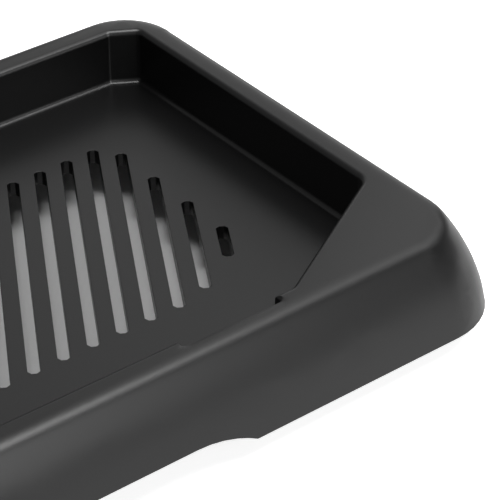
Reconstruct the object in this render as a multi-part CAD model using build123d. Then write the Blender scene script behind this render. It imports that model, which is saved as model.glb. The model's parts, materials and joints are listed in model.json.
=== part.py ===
"""Vertical stand for a flat game console.

The stand is one black moulded tray on four rubber feet. A shallow pocket with
straight walls takes the console's narrow side. Slanted vents run through the
pocket floor. Outside the pocket a thin skirt flares down to the table, hollow
underneath, with a low arch along the front that lets air in and fingers under.

Frame: origin on the table under the middle of the stand, +X along the pocket
towards the end with the long diagonal wall, +Y to the back, +Z up. Millimetres.
"""
import os
from math import ceil, cos, radians, sqrt, tan

from build123d import *

# The console that stands in the pocket, on its narrow side
CONSOLE_LENGTH = 240.0
CONSOLE_THICKNESS = 60.0
CONSOLE_CLEARANCE = 1.0

# Pocket
POCKET_DEPTH = 8.0
CORNER_CUT_ANGLE = 30.0
CORNER_CUT_RUN = 3.6
DIAGONAL_RUN = 21.5
DIAGONAL_ROUND = 2.2
CORNER_ROUND = 0.8
POCKET_FLOOR_ROUND = 0.7
POCKET_LIP_ROUND = 0.8

# Relief in the front wall of the pocket, for the console's foot
RELIEF_END_INSET = 24.1
RELIEF_LENGTH = 14.2
RELIEF_DEPTH = 1.25
RELIEF_ROUND = 0.4
RELIEF_LIP = 0.35

# Moulded walls
WALL = 2.0
FLOOR = 2.0
RIB = 1.2
RIB_PITCH = 38.0
END_RIB_SPREAD = 34.0

# Skirt outside the pocket
RIM_WIDTH = 3.4
RIM_ROUND = 1.5
SKIRT_FLARE = 4.75
SKIRT_BOW = 0.7
SKIRT_CORNER_TOP = 7.5
SKIRT_CORNER_FOOT = 10.2
FLOOR_LIFT = 1.8

# Arch in the foot of the front skirt
ARCH_HEIGHT = 2.2
ARCH_END_INSET = 33.0
ARCH_END_RADIUS = 16.6

# Vents
VENT_TILT = 30.0
VENT_PITCH = 3.65
VENT_WIDTH = 1.54
VENT_CORNER = 0.45
VENT_MARGIN = 13.2
VENT_SHIFT_BACK = 0.4
VENT_END_INSET = 9.35
VENT_SHORTEST = 4.0

# Rubber feet under the floor, in the middle of the plain strip beside the vents
FOOT_DIAMETER = 9.0
FOOT_PROUD = 3.2
FOOT_EDGE = 0.4
FOOT_SEAT_DEPTH = 0.5
FOOT_SEAT_CLEARANCE = 0.1
FOOT_END_INSET = 32.0

# Pocket size and the levels that follow from the sizes above
HALF_LENGTH = CONSOLE_LENGTH / 2 + CONSOLE_CLEARANCE
HALF_WIDTH = CONSOLE_THICKNESS / 2 + CONSOLE_CLEARANCE
CUT_SLOPE = tan(radians(CORNER_CUT_ANGLE))
Z_SKIRT = FOOT_PROUD
Z_UNDER = Z_SKIRT + FLOOR_LIFT
Z_FLOOR = Z_UNDER + FLOOR
Z_RIM = Z_FLOOR + POCKET_DEPTH
SKIRT_HEIGHT = Z_RIM - Z_SKIRT


def pocket_outline():
    """Plan of the pocket: small corner cuts, and one long diagonal at the front of the +X end."""
    x, y = HALF_LENGTH, HALF_WIDTH
    cut_x, cut_y = CORNER_CUT_RUN, CORNER_CUT_RUN * CUT_SLOPE
    diagonal = [(x - DIAGONAL_RUN, -y), (x, -y + DIAGONAL_RUN * CUT_SLOPE)]
    cuts = [
        (x, y - cut_y),
        (x - cut_x, y),
        (-x + cut_x, y),
        (-x, y - cut_y),
        (-x, -y + cut_y),
        (-x + cut_x, -y),
    ]
    outline = make_face(Polyline(*diagonal, *cuts, close=True))
    outline = fillet([outline.vertices().sort_by_distance(p)[0] for p in cuts], CORNER_ROUND)
    return fillet([outline.vertices().sort_by_distance(p)[0] for p in diagonal], DIAGONAL_ROUND)


def skirt_section(z, inset):
    """Level plan of the skirt: a rounded rectangle that flares to the foot along a bowed line."""
    rise = (z - Z_SKIRT) / SKIRT_HEIGHT
    reach = RIM_WIDTH + SKIRT_FLARE * (1 - rise) + 4 * SKIRT_BOW * rise * (1 - rise) - inset
    radius = SKIRT_CORNER_FOOT + (SKIRT_CORNER_TOP - SKIRT_CORNER_FOOT) * rise - inset
    plan = RectangleRounded(2 * (HALF_LENGTH + reach), 2 * (HALF_WIDTH + reach), radius)
    return Pos(0, 0, z) * plan


def skirt_block(z_low, z_high, inset):
    """Solid inside the skirt between two levels, its face moved in by inset."""
    levels = (z_low, (z_low + z_high) / 2, z_high)
    return loft([skirt_section(z, inset) for z in levels])


def ribs():
    """Thin webs across the hollow between the pocket walls and the skirt."""
    height = Z_RIM - Z_UNDER
    middle = (Z_RIM + Z_UNDER) / 2
    count = int(2 * HALF_LENGTH // RIB_PITCH)
    across = Box(RIB, 4 * HALF_WIDTH, height)
    along = Box(4 * HALF_LENGTH, RIB, height)
    spread = [Pos((i - (count - 1) / 2) * RIB_PITCH, 0, middle) for i in range(count)]
    ends = [Pos(0, y, middle) for y in (-END_RIB_SPREAD / 2, END_RIB_SPREAD / 2)]
    return [place * across for place in spread] + [place * along for place in ends]


def hollow(outline):
    """Space under the rim and the floor, with the ribs left standing in it."""
    level_wall = WALL * sqrt(1 + (SKIRT_FLARE / SKIRT_HEIGHT) ** 2)
    inside = skirt_block(Z_SKIRT - WALL, Z_RIM - WALL, level_wall)
    pocket_walls = offset(outline, WALL, kind=Kind.INTERSECTION)
    return inside - Pos(0, 0, Z_UNDER) * extrude(pocket_walls, Z_RIM - Z_UNDER) - ribs()


def pocket(outline):
    """The console's space, with a round where the walls meet the floor."""
    space = Pos(0, 0, Z_FLOOR) * extrude(outline, POCKET_DEPTH)
    return fillet(space.faces().sort_by(Axis.Z)[0].edges(), POCKET_FLOOR_ROUND)


def relief():
    """Shallow recess in the front pocket wall beside the diagonal, its top edge broken."""
    plan = RectangleRounded(RELIEF_LENGTH, 2 * RELIEF_DEPTH, RELIEF_ROUND)
    recess = Pos(0, 0, Z_FLOOR) * extrude(plan, POCKET_DEPTH)
    lip = Pos(0, 0, Z_RIM - RELIEF_LIP) * extrude(plan, RELIEF_LIP, taper=-45)
    x = HALF_LENGTH - RELIEF_END_INSET - RELIEF_LENGTH / 2
    return Pos(x, -HALF_WIDTH) * (recess + lip)


def arch():
    """Low opening along the foot of the front skirt, running out at each end in a large arc."""
    half = HALF_LENGTH - ARCH_END_INSET
    run = sqrt(ARCH_END_RADIUS**2 - (ARCH_END_RADIUS - ARCH_HEIGHT) ** 2)
    flat = half - run
    outline = make_face(
        [
            Line((-half, 0), (half, 0)),
            RadiusArc((half, 0), (flat, ARCH_HEIGHT), -ARCH_END_RADIUS),
            Line((flat, ARCH_HEIGHT), (-flat, ARCH_HEIGHT)),
            RadiusArc((-flat, ARCH_HEIGHT), (-half, 0), -ARCH_END_RADIUS),
        ]
    )
    upright = Plane(origin=(0, -HALF_WIDTH, Z_SKIRT), x_dir=(1, 0, 0), z_dir=(0, -1, 0))
    return extrude(upright * outline, 2 * (RIM_WIDTH + SKIRT_FLARE))


def vents(outline):
    """Parallel slanted slots through the floor, their square ends kept a margin inside the pocket."""
    field = Pos(0, VENT_SHIFT_BACK) * offset(outline, -VENT_MARGIN, kind=Kind.INTERSECTION)
    step = VENT_PITCH / cos(radians(VENT_TILT))
    lean = HALF_WIDTH * tan(radians(VENT_TILT))
    first = HALF_LENGTH - VENT_END_INSET
    count = ceil((first + HALF_LENGTH + lean) / step)
    middle = Line((-lean, -HALF_WIDTH), (lean, HALF_WIDTH))
    slots = []
    for i in range(count):
        run = (Pos(first - i * step, 0) * middle) & field
        if run is None or run.length < VENT_SHORTEST:
            continue
        plan = chamfer(Rectangle(run.length, VENT_WIDTH).vertices(), VENT_CORNER)
        place = Pos(run @ 0.5) * Pos(0, 0, Z_UNDER - FLOOR / 2) * Rot(0, 0, 90 - VENT_TILT)
        slots.append(place * extrude(plan, 2 * FLOOR))
    return slots


def foot_places():
    """Named places of the feet."""
    x = HALF_LENGTH - FOOT_END_INSET
    y = HALF_WIDTH - VENT_MARGIN / 2
    return {
        "foot_front_left": Pos(-x, -y),
        "foot_front_right": Pos(x, -y),
        "foot_rear_left": Pos(-x, y),
        "foot_rear_right": Pos(x, y),
    }


def foot():
    """Round rubber pad, its top face against the seat and its lower edge broken."""
    height = Z_UNDER + FOOT_SEAT_DEPTH
    pad = Pos(0, 0, height / 2) * Cylinder(FOOT_DIAMETER / 2, height)
    return chamfer(pad.edges().sort_by(Axis.Z)[0], FOOT_EDGE)


def foot_seat():
    """Shallow round seat for a foot in the underside of the floor."""
    radius = FOOT_DIAMETER / 2 + FOOT_SEAT_CLEARANCE
    return Pos(0, 0, Z_UNDER) * Cylinder(radius, 2 * FOOT_SEAT_DEPTH)


def stand_body():
    """The moulded tray: skirt block, rounded rim, pocket, hollow, arch, vents and foot seats."""
    outline = pocket_outline()
    body = skirt_block(Z_SKIRT, Z_RIM, 0)
    body = fillet(body.faces().sort_by(Axis.Z)[-1].edges(), RIM_ROUND)
    body -= pocket(outline)
    rim = body.faces().sort_by(Axis.Z)[-1]
    body = fillet(rim.inner_wires()[0].edges(), POCKET_LIP_ROUND)
    body -= relief()
    body -= hollow(outline)
    body -= arch()
    body -= vents(outline)
    body -= [place * foot_seat() for place in foot_places().values()]
    return body


os.makedirs("parts", exist_ok=True)
export_step(stand_body(), "parts/stand_body.step")
for name, place in foot_places().items():
    export_step(place * foot(), f"parts/{name}.step")
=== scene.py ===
"""Looks of a vertical stand for a flat game console: moulded tray, rubber feet and a white studio.

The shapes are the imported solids, in metres, in the part's own frame: +X along the pocket towards
the end with the long diagonal wall, +Y to the back, +Z up, the table at z = 0.
"""

import json
import math
from typing import NamedTuple

import bpy
import numpy as np
from bpy.props import FloatProperty, FloatVectorProperty, PointerProperty
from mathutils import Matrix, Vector


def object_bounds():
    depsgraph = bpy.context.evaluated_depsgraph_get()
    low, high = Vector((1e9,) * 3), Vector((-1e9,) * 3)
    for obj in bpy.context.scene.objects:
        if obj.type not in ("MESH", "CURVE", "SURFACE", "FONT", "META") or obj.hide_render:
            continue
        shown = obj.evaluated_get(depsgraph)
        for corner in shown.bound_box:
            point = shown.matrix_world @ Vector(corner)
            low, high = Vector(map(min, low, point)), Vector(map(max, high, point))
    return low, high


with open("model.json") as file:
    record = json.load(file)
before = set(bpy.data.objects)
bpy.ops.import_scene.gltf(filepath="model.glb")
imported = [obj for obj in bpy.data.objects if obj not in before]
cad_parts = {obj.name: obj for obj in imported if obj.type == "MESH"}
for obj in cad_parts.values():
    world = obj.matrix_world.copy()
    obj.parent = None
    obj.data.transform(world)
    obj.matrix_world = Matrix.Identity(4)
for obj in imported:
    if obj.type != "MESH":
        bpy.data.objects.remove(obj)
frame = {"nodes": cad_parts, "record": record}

bl_info = {
    "name": "Console stand looks",
    "version": (1, 0, 0),
    "blender": (4, 5, 0),
    "location": "3D View > Sidebar > Stand",
    "description": "Finishes the moulded tray and its rubber feet, and sets a white studio",
    "category": "3D View",
}

CAD_LOW, CAD_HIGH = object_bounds()
TRAY = "stand_body"
FEET = sorted(name for name in frame["nodes"] if name.startswith("foot_"))
POCKET_FLOOR = next(m["pos_m"][2] for m in frame["record"]["mounts"] if m["name"] == "pocket_floor")
WHITE = (1.0, 1.0, 1.0, 1.0)

# Packed triangles: corners this close are one point, and edges from this angle on stay sharp
JOIN_DISTANCE = 0.000001
SHARP_ANGLE = math.radians(30.0)

# Span in which most of a noise lies
NOISE_LOW = 0.25
NOISE_HIGH = 0.75

# Plastic: its refraction, the fineness of its grain and of its flow marks, a flow mark's width in
# grains, the tones of the flow marks against the colour, and the grain's change of roughness
PLASTIC_IOR = 1.57
GRAIN_DETAIL = 3.0
FLOW_DETAIL = 2.0
FLOW_GRAINS = 40
FLOW_TONES = (0.85, 1.15)
GRAIN_ROUGHNESS = 0.025

# Rubber: the fineness of its pores, their tones against the colour, their change of roughness, and
# the softness of its edges and the depth of a pore as shares of a pore's width
PORE_DETAIL = 4.0
PORE_TONES = (0.7, 1.3)
PORE_ROUGHNESS = 0.08
PORE_EDGE = 0.25
PORE_DEPTH = 0.05

# Light on edges: its samples, how far inside the foot's outline the rim's wide light reaches, the
# width over which it fades there, and how far below the top it has its full radius
EDGE_SAMPLES = 6
RIM_DEPTH = 0.0066
RIM_FADE = 0.0007
RIM_DROP = 0.003

# Floor: half its side, its steps, how far inside the foot's outline it shows the camera its white,
# and the width over which that fades
FLOOR_HALF = 4.0
FLOOR_STEPS = 8
LIFT_DEPTH = 0.007
LIFT_FADE = 0.0035

# Camera: its sensor in millimetres, the nearest and furthest points that it sees, and how far from
# the diagonal end and in front of the stand's middle it aims
SENSOR_WIDTH = 36.0
CLIP_NEAR = 0.01
CLIP_FAR = 100.0
AIM_INSET = 0.0218
AIM_FRONT = 0.0131


class Lamp(NamedTuple):
    """Square soft lamp that faces the point that the camera looks at.

    Level 1 renders a white surface that faces the lamp as white. Azimuth, from the back towards the
    diagonal end, and elevation are in degrees, distance and width in metres.
    """

    name: str
    level: float
    azimuth: float
    elevation: float
    distance: float
    width: float


LAMPS = (
    Lamp("top_lamp", 0.47, 0, 89, 0.8, 0.4),
    Lamp("key_lamp", 0.36, 145, 64, 0.8, 0.22),
    Lamp("right_lamp", 0.115, 95, 52, 0.8, 0.5),
    Lamp("front_lamp", 0.22, 169, 21, 2.4, 1.3),
    Lamp("front_high_lamp", 0.125, 180, 30, 2.4, 1.3),
    Lamp("back_high_lamp", 0.042, 60, 60, 0.8, 0.5),
    Lamp("back_right_lamp", 0.052, 60, 40, 0.8, 0.4),
    Lamp("back_fill_lamp", 0.029, 22, 33, 0.8, 0.4),
    Lamp("rim_lamp", 0.06, 44, 9, 0.5, 0.25),
)


class TrayFinish(bpy.types.PropertyGroup):
    """Finish of the moulded tray"""

    colour: FloatVectorProperty(
        name="Colour",
        description="Colour of the dyed plastic",
        subtype="COLOR",
        min=0.0,
        max=1.0,
        default=(0.003, 0.003, 0.0031),
    )
    roughness: FloatProperty(
        name="Roughness",
        description="Mean roughness of the moulded surface",
        subtype="FACTOR",
        min=0.0,
        max=1.0,
        default=0.305,
    )
    grain: FloatProperty(
        name="Grain",
        description="Width of one grain of the moulded texture",
        unit="LENGTH",
        precision=6,
        min=0.00005,
        max=0.005,
        default=0.00035,
    )
    grain_depth: FloatProperty(
        name="Grain depth",
        description="Height of the moulded texture",
        unit="LENGTH",
        precision=6,
        min=0.0,
        max=0.0005,
        default=0.000004,
    )
    edge: FloatProperty(
        name="Edge softness",
        description="Radius of the light that runs along the sharp moulded edges",
        unit="LENGTH",
        precision=6,
        min=0.0,
        max=0.001,
        default=0.00015,
    )
    rim_edge: FloatProperty(
        name="Rim softness",
        description="Radius of the light that runs along the outer round of the rim",
        unit="LENGTH",
        precision=6,
        min=0.0,
        max=0.003,
        default=0.0016,
    )


class FootFinish(bpy.types.PropertyGroup):
    """Finish of the rubber feet"""

    colour: FloatVectorProperty(
        name="Colour",
        description="Colour of the rubber",
        subtype="COLOR",
        min=0.0,
        max=1.0,
        default=(0.016, 0.016, 0.016),
    )
    roughness: FloatProperty(
        name="Roughness",
        description="Mean roughness of the rubber",
        subtype="FACTOR",
        min=0.0,
        max=1.0,
        default=0.78,
    )
    pore: FloatProperty(
        name="Pore",
        description="Width of one pore in the rubber",
        unit="LENGTH",
        precision=6,
        min=0.00005,
        max=0.005,
        default=0.0006,
    )


class StudioSettings(bpy.types.PropertyGroup):
    """Floor, lamps, surroundings and camera"""

    floor_colour: FloatVectorProperty(
        name="Floor",
        description="Colour of the floor",
        subtype="COLOR",
        min=0.0,
        max=1.0,
        default=(0.83, 0.83, 0.83),
    )
    floor_lift: FloatProperty(
        name="Floor lift",
        description="White that the floor round the stand shows the camera besides its colour",
        min=0.0,
        max=2.0,
        default=0.8,
    )
    ambient: FloatProperty(
        name="Ambient",
        description="Level of the even light from all round",
        min=0.0,
        max=1.0,
        default=0.14,
    )
    gloss: FloatProperty(
        name="Gloss",
        description="Share of the white of background and floor that glossy surfaces mirror",
        subtype="FACTOR",
        min=0.0,
        max=1.0,
        default=0.05,
    )
    light: FloatProperty(
        name="Light",
        description="Level of all the lamps together, where 1 leaves each as it is listed",
        min=0.0,
        max=5.0,
        default=1.0,
    )
    camera_azimuth: FloatProperty(
        name="Camera azimuth",
        description="Direction in which the camera looks, from the back towards the diagonal end",
        subtype="ANGLE",
        default=math.radians(38.28),
    )
    camera_elevation: FloatProperty(
        name="Camera elevation",
        description="Angle at which the camera looks down",
        subtype="ANGLE",
        default=math.radians(34.69),
    )
    camera_distance: FloatProperty(
        name="Camera distance",
        description="Distance of the camera from the point that it looks at",
        unit="LENGTH",
        default=0.2911,
    )
    camera_lens: FloatProperty(
        name="Lens",
        description="Focal length on a sensor 36 mm wide",
        subtype="DISTANCE_CAMERA",
        default=167.9,
    )
    aim: FloatVectorProperty(
        name="Aim",
        description="Point on the pocket floor at the middle of the picture",
        subtype="TRANSLATION",
        unit="LENGTH",
        default=(CAD_HIGH.x - AIM_INSET, -AIM_FRONT, POCKET_FLOOR),
    )


def feed(tree, value, socket):
    """Gives a socket another node's output or a plain number."""
    if isinstance(value, bpy.types.NodeSocket):
        tree.links.new(value, socket)
    else:
        socket.default_value = value


def calculate(tree, operation, *values):
    """Result of one Math operation on outputs or plain numbers."""
    made = tree.nodes.new("ShaderNodeMath")
    made.operation = operation
    for value, socket in zip(values, made.inputs):
        feed(tree, value, socket)
    return made.outputs["Value"]


def ramp(tree, value, start, end, low, high):
    """Node that is low up to the start, high from the end on, and rises evenly between them."""
    made = tree.nodes.new("ShaderNodeMapRange")
    feed(tree, value, made.inputs["Value"])
    feed(tree, start, made.inputs["From Min"])
    feed(tree, end, made.inputs["From Max"])
    feed(tree, low, made.inputs["To Min"])
    feed(tree, high, made.inputs["To Max"])
    return made


def axes(tree, place):
    """Outputs for x, y and z of the object coordinates."""
    made = tree.nodes.new("ShaderNodeSeparateXYZ")
    tree.links.new(place.outputs["Object"], made.inputs["Vector"])
    return made.outputs


def noise(tree, place, width, detail):
    """Noise on object coordinates, its scale 1 / width, so that its cells are about that wide."""
    made = tree.nodes.new("ShaderNodeTexNoise")
    made.inputs["Scale"].default_value = 1.0 / width
    made.inputs["Detail"].default_value = detail
    tree.links.new(place.outputs["Object"], made.inputs["Vector"])
    return made.outputs["Fac"]


def spread(tree, value, low, high):
    """The span in which most of a noise lies, spread evenly from low to high."""
    return ramp(tree, value, NOISE_LOW, NOISE_HIGH, low, high).outputs["Result"]


def tint(tree, value, colour, low, high):
    """The colour times a factor that a noise moves from low to high."""
    made = tree.nodes.new("ShaderNodeMix")
    made.data_type = "RGBA"
    made.inputs["A"].default_value = (*(low * c for c in colour), 1.0)
    made.inputs["B"].default_value = (*(high * c for c in colour), 1.0)
    tree.links.new(spread(tree, value, 0.0, 1.0), made.inputs["Factor"])
    return made.outputs["Result"]


def rounded(tree, radius):
    """Surface normal that turns over edges within that radius, a number or an output."""
    made = tree.nodes.new("ShaderNodeBevel")
    made.samples = EDGE_SAMPLES
    feed(tree, radius, made.inputs["Radius"])
    return made.outputs["Normal"]


def bump(tree, value, height, normal):
    """The normal of a surface raised by the value times that height."""
    made = tree.nodes.new("ShaderNodeBump")
    made.inputs["Strength"].default_value = 1.0
    made.inputs["Distance"].default_value = height
    tree.links.new(value, made.inputs["Height"])
    tree.links.new(normal, made.inputs["Normal"])
    return made.outputs["Normal"]


def outside(tree, place, depth, fade, low, high):
    """Low over the middle of the stand, and high from that depth inside its foot's outline outwards.

    The distance past the outline is the larger of |x| less half the length and |y| less half the
    width. Over the fade, which ends at the depth, the result goes from low to high in a smooth step.
    """
    spot = axes(tree, place)
    past_end = calculate(tree, "SUBTRACT", calculate(tree, "ABSOLUTE", spot["X"]), CAD_HIGH.x)
    past_side = calculate(tree, "SUBTRACT", calculate(tree, "ABSOLUTE", spot["Y"]), CAD_HIGH.y)
    past = calculate(tree, "MAXIMUM", past_end, past_side)
    made = ramp(tree, past, -depth - fade, -depth, low, high)
    made.interpolation_type = "SMOOTHSTEP"
    return made.outputs["Result"]


def edge_radius(tree, place, finish):
    """Radius of the light on edges: fine in the pocket and low on the skirt, wide round the rim.

    Round the outside it grows evenly with height, from the fine one at the pocket floor's level to
    the rim's, which it has from a little below the top.
    """
    full = CAD_HIGH.z - RIM_DROP
    height = axes(tree, place)["Z"]
    raised = ramp(tree, height, POCKET_FLOOR, full, finish.edge, finish.rim_edge)
    return outside(tree, place, RIM_DEPTH, RIM_FADE, finish.edge, raised.outputs["Result"])


def new_material(name):
    """New node material, its tree, its surface shader and its object coordinates."""
    material = bpy.data.materials.new(name)
    material.use_nodes = True
    tree = material.node_tree
    shader = next(n for n in tree.nodes if n.type == "BSDF_PRINCIPLED")
    place = tree.nodes.new("ShaderNodeTexCoord")
    return material, tree, shader, place


def moulded_plastic(finish):
    """Black plastic with a fine spark-eroded grain and a slow drift of tone from the mould's flow."""
    material, tree, shader, place = new_material("moulded_black_plastic")
    grain = noise(tree, place, finish.grain, GRAIN_DETAIL)
    flow = noise(tree, place, FLOW_GRAINS * finish.grain, FLOW_DETAIL)
    tone = tint(tree, flow, finish.colour, *FLOW_TONES)
    smooth = finish.roughness - GRAIN_ROUGHNESS
    rough = finish.roughness + GRAIN_ROUGHNESS
    soft = rounded(tree, edge_radius(tree, place, finish))
    shader.inputs["IOR"].default_value = PLASTIC_IOR
    tree.links.new(tone, shader.inputs["Base Color"])
    tree.links.new(spread(tree, grain, smooth, rough), shader.inputs["Roughness"])
    tree.links.new(bump(tree, grain, finish.grain_depth, soft), shader.inputs["Normal"])
    return material


def foot_rubber(finish):
    """Dull black rubber with shallow pores."""
    material, tree, shader, place = new_material("foot_rubber_black")
    pores = noise(tree, place, finish.pore, PORE_DETAIL)
    tone = tint(tree, pores, finish.colour, *PORE_TONES)
    smooth = finish.roughness - PORE_ROUGHNESS
    rough = finish.roughness + PORE_ROUGHNESS
    soft = rounded(tree, PORE_EDGE * finish.pore)
    tree.links.new(tone, shader.inputs["Base Color"])
    tree.links.new(spread(tree, pores, smooth, rough), shader.inputs["Roughness"])
    tree.links.new(bump(tree, pores, PORE_DEPTH * finish.pore, soft), shader.inputs["Normal"])
    return material


def dress(name, material):
    """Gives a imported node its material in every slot."""
    if name not in frame["nodes"]:
        raise RuntimeError(f"the frame has no node named {name}")
    slots = frame["nodes"][name].material_slots
    if not slots:
        raise RuntimeError(f"{name} has no material slot")
    for slot in slots:
        slot.material = material


def even_normals(name):
    """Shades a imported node's flats, rounds and seams as one skin, and keeps its sharp edges sharp.

    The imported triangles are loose, so they are joined, split at sharp edges, and given vertex
    normals weighted by face area. No point moves.
    """
    piece = frame["nodes"][name]
    piece.modifiers.new("join", "WELD").merge_threshold = JOIN_DISTANCE
    piece.modifiers.new("sharp", "EDGE_SPLIT").split_angle = SHARP_ANGLE
    piece.modifiers.new("even", "WEIGHTED_NORMAL").mode = "FACE_AREA"


def seen_rays(tree, gloss):
    """1 for camera and transmission rays, the gloss share for glossy rays, 0 for all others."""
    path = tree.nodes.new("ShaderNodeLightPath").outputs
    clear = calculate(tree, "MAXIMUM", path["Is Camera Ray"], path["Is Transmission Ray"])
    shiny = calculate(tree, "MULTIPLY", path["Is Glossy Ray"], gloss)
    return calculate(tree, "MAXIMUM", clear, shiny)


def floor_material(studio):
    """Pale dull floor that keeps the stand's shadow, and round the stand also shows some white.

    The white has the strength of the lift, times the share of the rays that see it, times 1 outside
    the stand or 0 under it.
    """
    material = bpy.data.materials.new("studio_floor")
    material.use_nodes = True
    tree = material.node_tree
    tree.nodes.clear()
    dull = tree.nodes.new("ShaderNodeBsdfDiffuse")
    dull.inputs["Color"].default_value = (*studio.floor_colour, 1.0)
    place = tree.nodes.new("ShaderNodeTexCoord")
    shown = outside(tree, place, LIFT_DEPTH, LIFT_FADE, 0.0, 1.0)
    seen = calculate(tree, "MULTIPLY", seen_rays(tree, studio.gloss), shown)
    lift = tree.nodes.new("ShaderNodeEmission")
    lift.inputs["Color"].default_value = WHITE
    strength = calculate(tree, "MULTIPLY", seen, studio.floor_lift)
    tree.links.new(strength, lift.inputs["Strength"])
    both = tree.nodes.new("ShaderNodeAddShader")
    tree.links.new(dull.outputs["BSDF"], both.inputs[0])
    tree.links.new(lift.outputs["Emission"], both.inputs[1])
    output = tree.nodes.new("ShaderNodeOutputMaterial")
    tree.links.new(both.outputs["Shader"], output.inputs["Surface"])
    return material


def floor_mesh(half, steps):
    """Level square grid at z = 0: x and y both run evenly from -half to half."""
    line = np.linspace(-half, half, steps + 1)
    x, y = np.meshgrid(line, line)
    points = np.stack([x, y, np.zeros_like(x)], axis=-1).reshape(-1, 3)
    corner = (np.arange(steps)[:, None] * (steps + 1) + np.arange(steps)).reshape(-1, 1)
    faces = corner + np.array([0, 1, steps + 2, steps + 1])
    mesh = bpy.data.meshes.new("studio_floor")
    mesh.from_pydata(points.tolist(), [], faces.tolist())
    return mesh


def direction(azimuth, elevation):
    """Unit vector at that azimuth, from +Y towards +X, and that height above the horizon.

    The cosine of the elevation is its level part, which the azimuth's sine and cosine share out to
    x and y, and z is the sine of the elevation.
    """
    level = math.cos(elevation)
    return Vector((math.sin(azimuth) * level, math.cos(azimuth) * level, math.sin(elevation)))


def add_lamp(lamp, studio):
    """Puts a lamp at its place round the point that the camera looks at, facing it.

    Its power is its level times the square of pi times its distance, so that the distance doesn't
    change its light on the stand.
    """
    light = bpy.data.lights.new(lamp.name, "AREA")
    light.size = lamp.width
    light.energy = studio.light * lamp.level * (math.pi * lamp.distance) ** 2
    towards = direction(math.radians(lamp.azimuth), math.radians(lamp.elevation))
    made = bpy.data.objects.new(lamp.name, light)
    made.location = Vector(studio.aim) + towards * lamp.distance
    made.rotation_euler = towards.to_track_quat("Z", "Y").to_euler()
    bpy.context.scene.collection.objects.link(made)


def white_background(tree, strength):
    """White surroundings of that strength."""
    made = tree.nodes.new("ShaderNodeBackground")
    made.inputs["Color"].default_value = WHITE
    made.inputs["Strength"].default_value = strength
    return made.outputs["Background"]


def add_surroundings(studio):
    """White to the camera, and a weak even light on the stand.

    Glossy rays see the even light with the gloss share of white mixed in.
    """
    world = bpy.data.worlds.new("studio_white")
    world.use_nodes = True
    tree = world.node_tree
    tree.nodes.clear()
    mix = tree.nodes.new("ShaderNodeMixShader")
    tree.links.new(seen_rays(tree, studio.gloss), mix.inputs["Fac"])
    tree.links.new(white_background(tree, studio.ambient), mix.inputs[1])
    tree.links.new(white_background(tree, 1.0), mix.inputs[2])
    output = tree.nodes.new("ShaderNodeOutputWorld")
    tree.links.new(mix.outputs["Shader"], output.inputs["Surface"])
    bpy.context.scene.world = world


def add_camera(studio):
    """Camera at the photograph's angle, level from side to side, its distance back from its aim."""
    camera = bpy.data.cameras.new("camera")
    camera.sensor_width = SENSOR_WIDTH
    camera.lens = studio.camera_lens
    camera.clip_start = CLIP_NEAR
    camera.clip_end = CLIP_FAR
    back = -direction(studio.camera_azimuth, -studio.camera_elevation)
    made = bpy.data.objects.new("camera", camera)
    made.location = Vector(studio.aim) + back * studio.camera_distance
    made.rotation_euler = back.to_track_quat("Z", "Y").to_euler()
    bpy.context.scene.collection.objects.link(made)
    bpy.context.scene.camera = made


class STAND_OT_finish_tray(bpy.types.Operator):
    """Give the moulded tray its black plastic"""

    bl_idname = "stand.finish_tray"
    bl_label = "Finish tray"

    def execute(self, context):
        dress(TRAY, moulded_plastic(context.scene.tray_finish))
        even_normals(TRAY)
        return {"FINISHED"}


class STAND_OT_finish_feet(bpy.types.Operator):
    """Give the feet their black rubber"""

    bl_idname = "stand.finish_feet"
    bl_label = "Finish feet"

    def execute(self, context):
        rubber = foot_rubber(context.scene.foot_finish)
        for name in FEET:
            dress(name, rubber)
            even_normals(name)
        return {"FINISHED"}


class STAND_OT_set_stage(bpy.types.Operator):
    """Set the floor, the lamps, the surroundings and the camera"""

    bl_idname = "stand.set_stage"
    bl_label = "Set stage"

    def execute(self, context):
        studio = context.scene.stand_studio
        floor = bpy.data.objects.new("studio_floor", floor_mesh(FLOOR_HALF, FLOOR_STEPS))
        floor.data.materials.append(floor_material(studio))
        context.scene.collection.objects.link(floor)
        for lamp in LAMPS:
            add_lamp(lamp, studio)
        add_surroundings(studio)
        add_camera(studio)
        context.scene.view_settings.view_transform = "Standard"
        return {"FINISHED"}


class STAND_PT_looks(bpy.types.Panel):
    """Sidebar panel with the stand's finishes and its studio"""

    bl_idname = "STAND_PT_looks"
    bl_label = "Console stand"
    bl_space_type = "VIEW_3D"
    bl_region_type = "UI"
    bl_category = "Stand"

    def draw(self, context):
        for title, operator, settings in (
            ("Tray", STAND_OT_finish_tray, context.scene.tray_finish),
            ("Feet", STAND_OT_finish_feet, context.scene.foot_finish),
            ("Stage", STAND_OT_set_stage, context.scene.stand_studio),
        ):
            box = self.layout.box()
            box.label(text=title)
            for name in settings.__annotations__:
                box.prop(settings, name)
            box.operator(operator.bl_idname)


CLASSES = (
    TrayFinish,
    FootFinish,
    StudioSettings,
    STAND_OT_finish_tray,
    STAND_OT_finish_feet,
    STAND_OT_set_stage,
    STAND_PT_looks,
)


def register():
    """Registers the classes and gives the scene their settings."""
    for cls in CLASSES:
        bpy.utils.register_class(cls)
    bpy.types.Scene.tray_finish = PointerProperty(type=TrayFinish)
    bpy.types.Scene.foot_finish = PointerProperty(type=FootFinish)
    bpy.types.Scene.stand_studio = PointerProperty(type=StudioSettings)


def unregister():
    """Takes the settings from the scene and removes the classes in reverse order."""
    del bpy.types.Scene.stand_studio
    del bpy.types.Scene.foot_finish
    del bpy.types.Scene.tray_finish
    for cls in reversed(CLASSES):
        bpy.utils.unregister_class(cls)


def main():
    """Registers the add-on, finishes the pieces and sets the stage."""
    register()
    bpy.ops.stand.finish_tray()
    bpy.ops.stand.finish_feet()
    bpy.ops.stand.set_stage()


if __name__ == "__main__":
    main()
